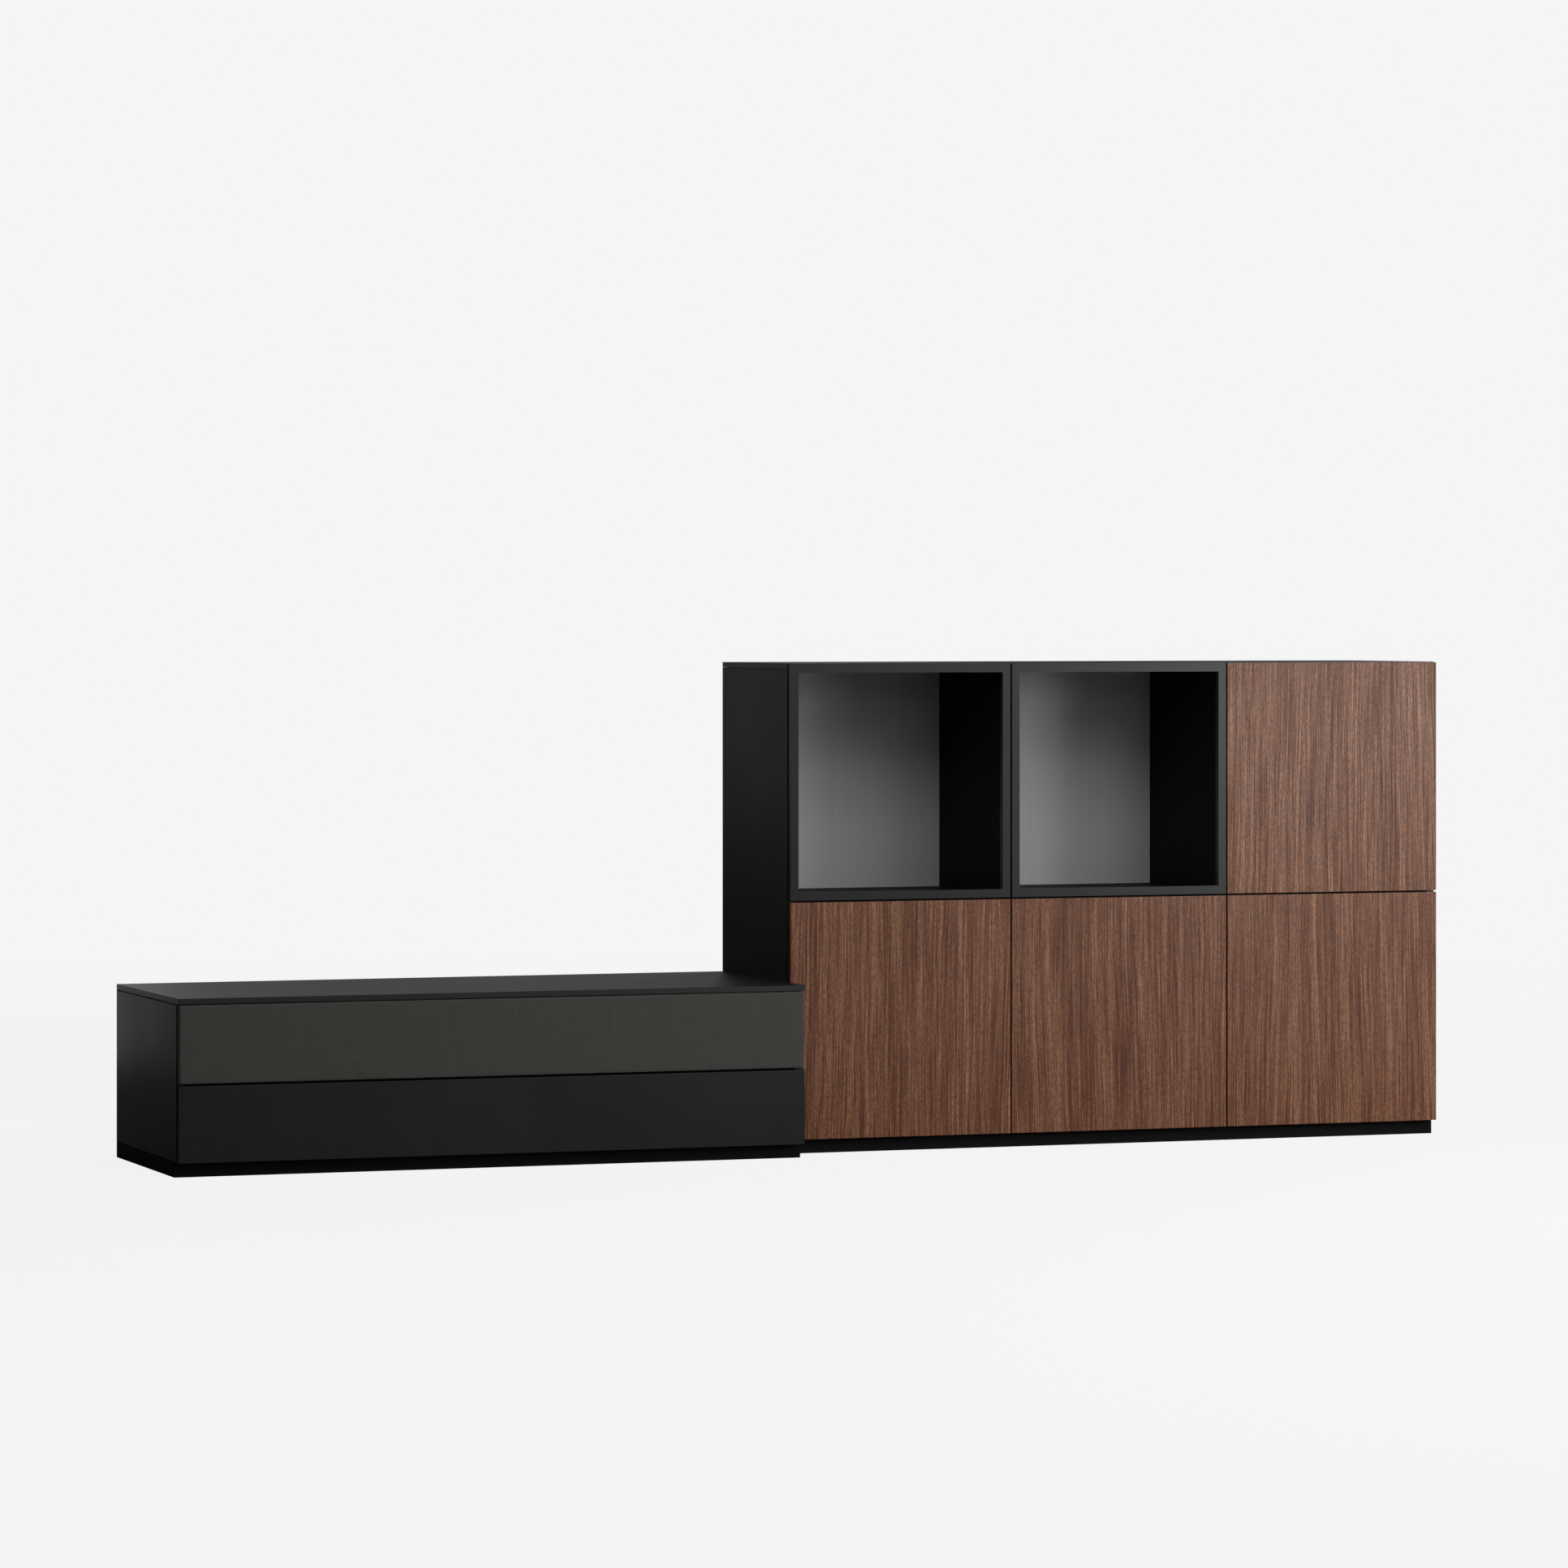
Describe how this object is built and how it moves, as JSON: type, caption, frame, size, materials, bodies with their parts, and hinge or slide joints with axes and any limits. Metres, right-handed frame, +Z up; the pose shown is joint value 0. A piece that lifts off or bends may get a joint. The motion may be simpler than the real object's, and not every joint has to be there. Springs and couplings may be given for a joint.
{
  "type": "cube storage unit",
  "caption": "Low media bench with wide fabric and lacquer drawers joined to a cube cabinet with open cells and push-to-open walnut doors.",
  "frame": {"origin": "on the floor, at the middle of the outline of both cabinets", "axes": "+X along the front to the right, from the bench to the tall cabinet; +Y to the back; +Z up"},
  "size_m": [2.556, 0.4736, 0.9275],
  "materials": {
    "black_lacquer": "satin",
    "front_lacquer": "satin",
    "grey_laminate": "matte",
    "walnut": "satin",
    "fabric": "matte",
    "drawer_board": "matte",
    "steel": "satin",
    "grey_plastic": "matte"
  },
  "bodies": {
    "cabinets": {"tall_top": "black_lacquer", "tall_left_side": "black_lacquer", "tall_right_side": "black_lacquer", "tall_partition_left": "black_lacquer", "tall_partition_right": "black_lacquer", "tall_bottom": "black_lacquer", "tall_shelf_left": "black_lacquer", "tall_shelf_middle": "black_lacquer", "tall_shelf_right": "black_lacquer", "tall_back": "grey_laminate", "tall_plinth": "black_lacquer", "open_frame_left": "front_lacquer", "open_frame_middle": "front_lacquer", "hinge_arm_lower_left_bottom": "steel", "hinge_arm_lower_left_top": "steel", "hinge_arm_lower_middle_bottom": "steel", "hinge_arm_lower_middle_top": "steel", "hinge_arm_lower_right_bottom": "steel", "hinge_arm_lower_right_top": "steel", "hinge_arm_upper_right_bottom": "steel", "hinge_arm_upper_right_top": "steel", "latch_housing_lower_left": "grey_plastic", "latch_housing_lower_middle": "grey_plastic", "latch_housing_lower_right": "grey_plastic", "latch_housing_upper_right": "grey_plastic", "bench_top": "black_lacquer", "bench_left_side": "black_lacquer", "bench_right_side": "black_lacquer", "bench_bottom": "black_lacquer", "bench_back": "grey_laminate", "bench_plinth": "black_lacquer", "upper_cabinet_runner_left": "steel", "upper_cabinet_runner_right": "steel", "lower_cabinet_runner_left": "steel", "lower_cabinet_runner_right": "steel"},
    "door_lower_left": {"door_lower_left": "walnut", "hinge_cup_lower_left_bottom": "steel", "hinge_cup_lower_left_top": "steel"},
    "door_lower_middle": {"door_lower_middle": "walnut", "hinge_cup_lower_middle_bottom": "steel", "hinge_cup_lower_middle_top": "steel"},
    "door_lower_right": {"door_lower_right": "walnut", "hinge_cup_lower_right_bottom": "steel", "hinge_cup_lower_right_top": "steel"},
    "door_upper_right": {"door_upper_right": "walnut", "hinge_cup_upper_right_bottom": "steel", "hinge_cup_upper_right_top": "steel"},
    "plunger_lower_left": {"latch_plunger_lower_left": "grey_plastic"},
    "plunger_lower_middle": {"latch_plunger_lower_middle": "grey_plastic"},
    "plunger_lower_right": {"latch_plunger_lower_right": "grey_plastic"},
    "plunger_upper_right": {"latch_plunger_upper_right": "grey_plastic"},
    "upper_drawer": {"upper_drawer_front": "drawer_board", "upper_drawer_box": "drawer_board", "upper_drawer_fabric": "fabric"},
    "upper_middle_runners": {"upper_middle_runner_left": "steel", "upper_middle_runner_right": "steel"},
    "lower_drawer": {"lower_drawer_front": "front_lacquer", "lower_drawer_box": "drawer_board"},
    "lower_middle_runners": {"lower_middle_runner_left": "steel", "lower_middle_runner_right": "steel"}
  },
  "joints": [
    {"name": "door_lower_left_hinge", "type": "hinge", "parent": "cabinets", "child": "door_lower_left", "pos_m": [0.37625, -0.14925, 0.25195], "axis": [0, 0, 1], "range_deg": [0, 95]},
    {"name": "door_lower_middle_hinge", "type": "hinge", "parent": "cabinets", "child": "door_lower_middle", "pos_m": [0.82625, -0.14925, 0.25195], "axis": [0, 0, 1], "range_deg": [0, 95]},
    {"name": "door_lower_right_hinge", "type": "hinge", "parent": "cabinets", "child": "door_lower_right", "pos_m": [1.27625, -0.14925, 0.25195], "axis": [0, 0, 1], "range_deg": [0, 95]},
    {"name": "door_upper_right_hinge", "type": "hinge", "parent": "cabinets", "child": "door_upper_right", "pos_m": [1.27625, -0.14925, 0.70285], "axis": [0, 0, 1], "range_deg": [0, 95]},
    {"name": "plunger_lower_left_press", "type": "slide", "parent": "cabinets", "child": "plunger_lower_left", "axis": [0, 1, 0], "range_m": [0, 0.0025], "stiffness_N_per_m": 300, "springref_m": -0.002},
    {"name": "plunger_lower_middle_press", "type": "slide", "parent": "cabinets", "child": "plunger_lower_middle", "axis": [0, 1, 0], "range_m": [0, 0.0025], "stiffness_N_per_m": 300, "springref_m": -0.002},
    {"name": "plunger_lower_right_press", "type": "slide", "parent": "cabinets", "child": "plunger_lower_right", "axis": [0, 1, 0], "range_m": [0, 0.0025], "stiffness_N_per_m": 300, "springref_m": -0.002},
    {"name": "plunger_upper_right_press", "type": "slide", "parent": "cabinets", "child": "plunger_upper_right", "axis": [0, 1, 0], "range_m": [0, 0.0025], "stiffness_N_per_m": 300, "springref_m": -0.002},
    {"name": "upper_drawer_slide", "type": "slide", "parent": "cabinets", "child": "upper_drawer", "axis": [0, -1, 0], "range_m": [0, 0.35]},
    {"name": "upper_middle_runner_slide", "type": "slide", "parent": "cabinets", "child": "upper_middle_runners", "axis": [0, -1, 0], "range_m": [0, 0.175]},
    {"name": "lower_drawer_slide", "type": "slide", "parent": "cabinets", "child": "lower_drawer", "axis": [0, -1, 0], "range_m": [0, 0.35]},
    {"name": "lower_middle_runner_slide", "type": "slide", "parent": "cabinets", "child": "lower_middle_runners", "axis": [0, -1, 0], "range_m": [0, 0.175]}
  ],
  "couplings": [
    {"joint": "upper_middle_runner_slide", "follows": "upper_drawer_slide", "ratio": 0.5},
    {"joint": "lower_middle_runner_slide", "follows": "lower_drawer_slide", "ratio": 0.5}
  ]
}
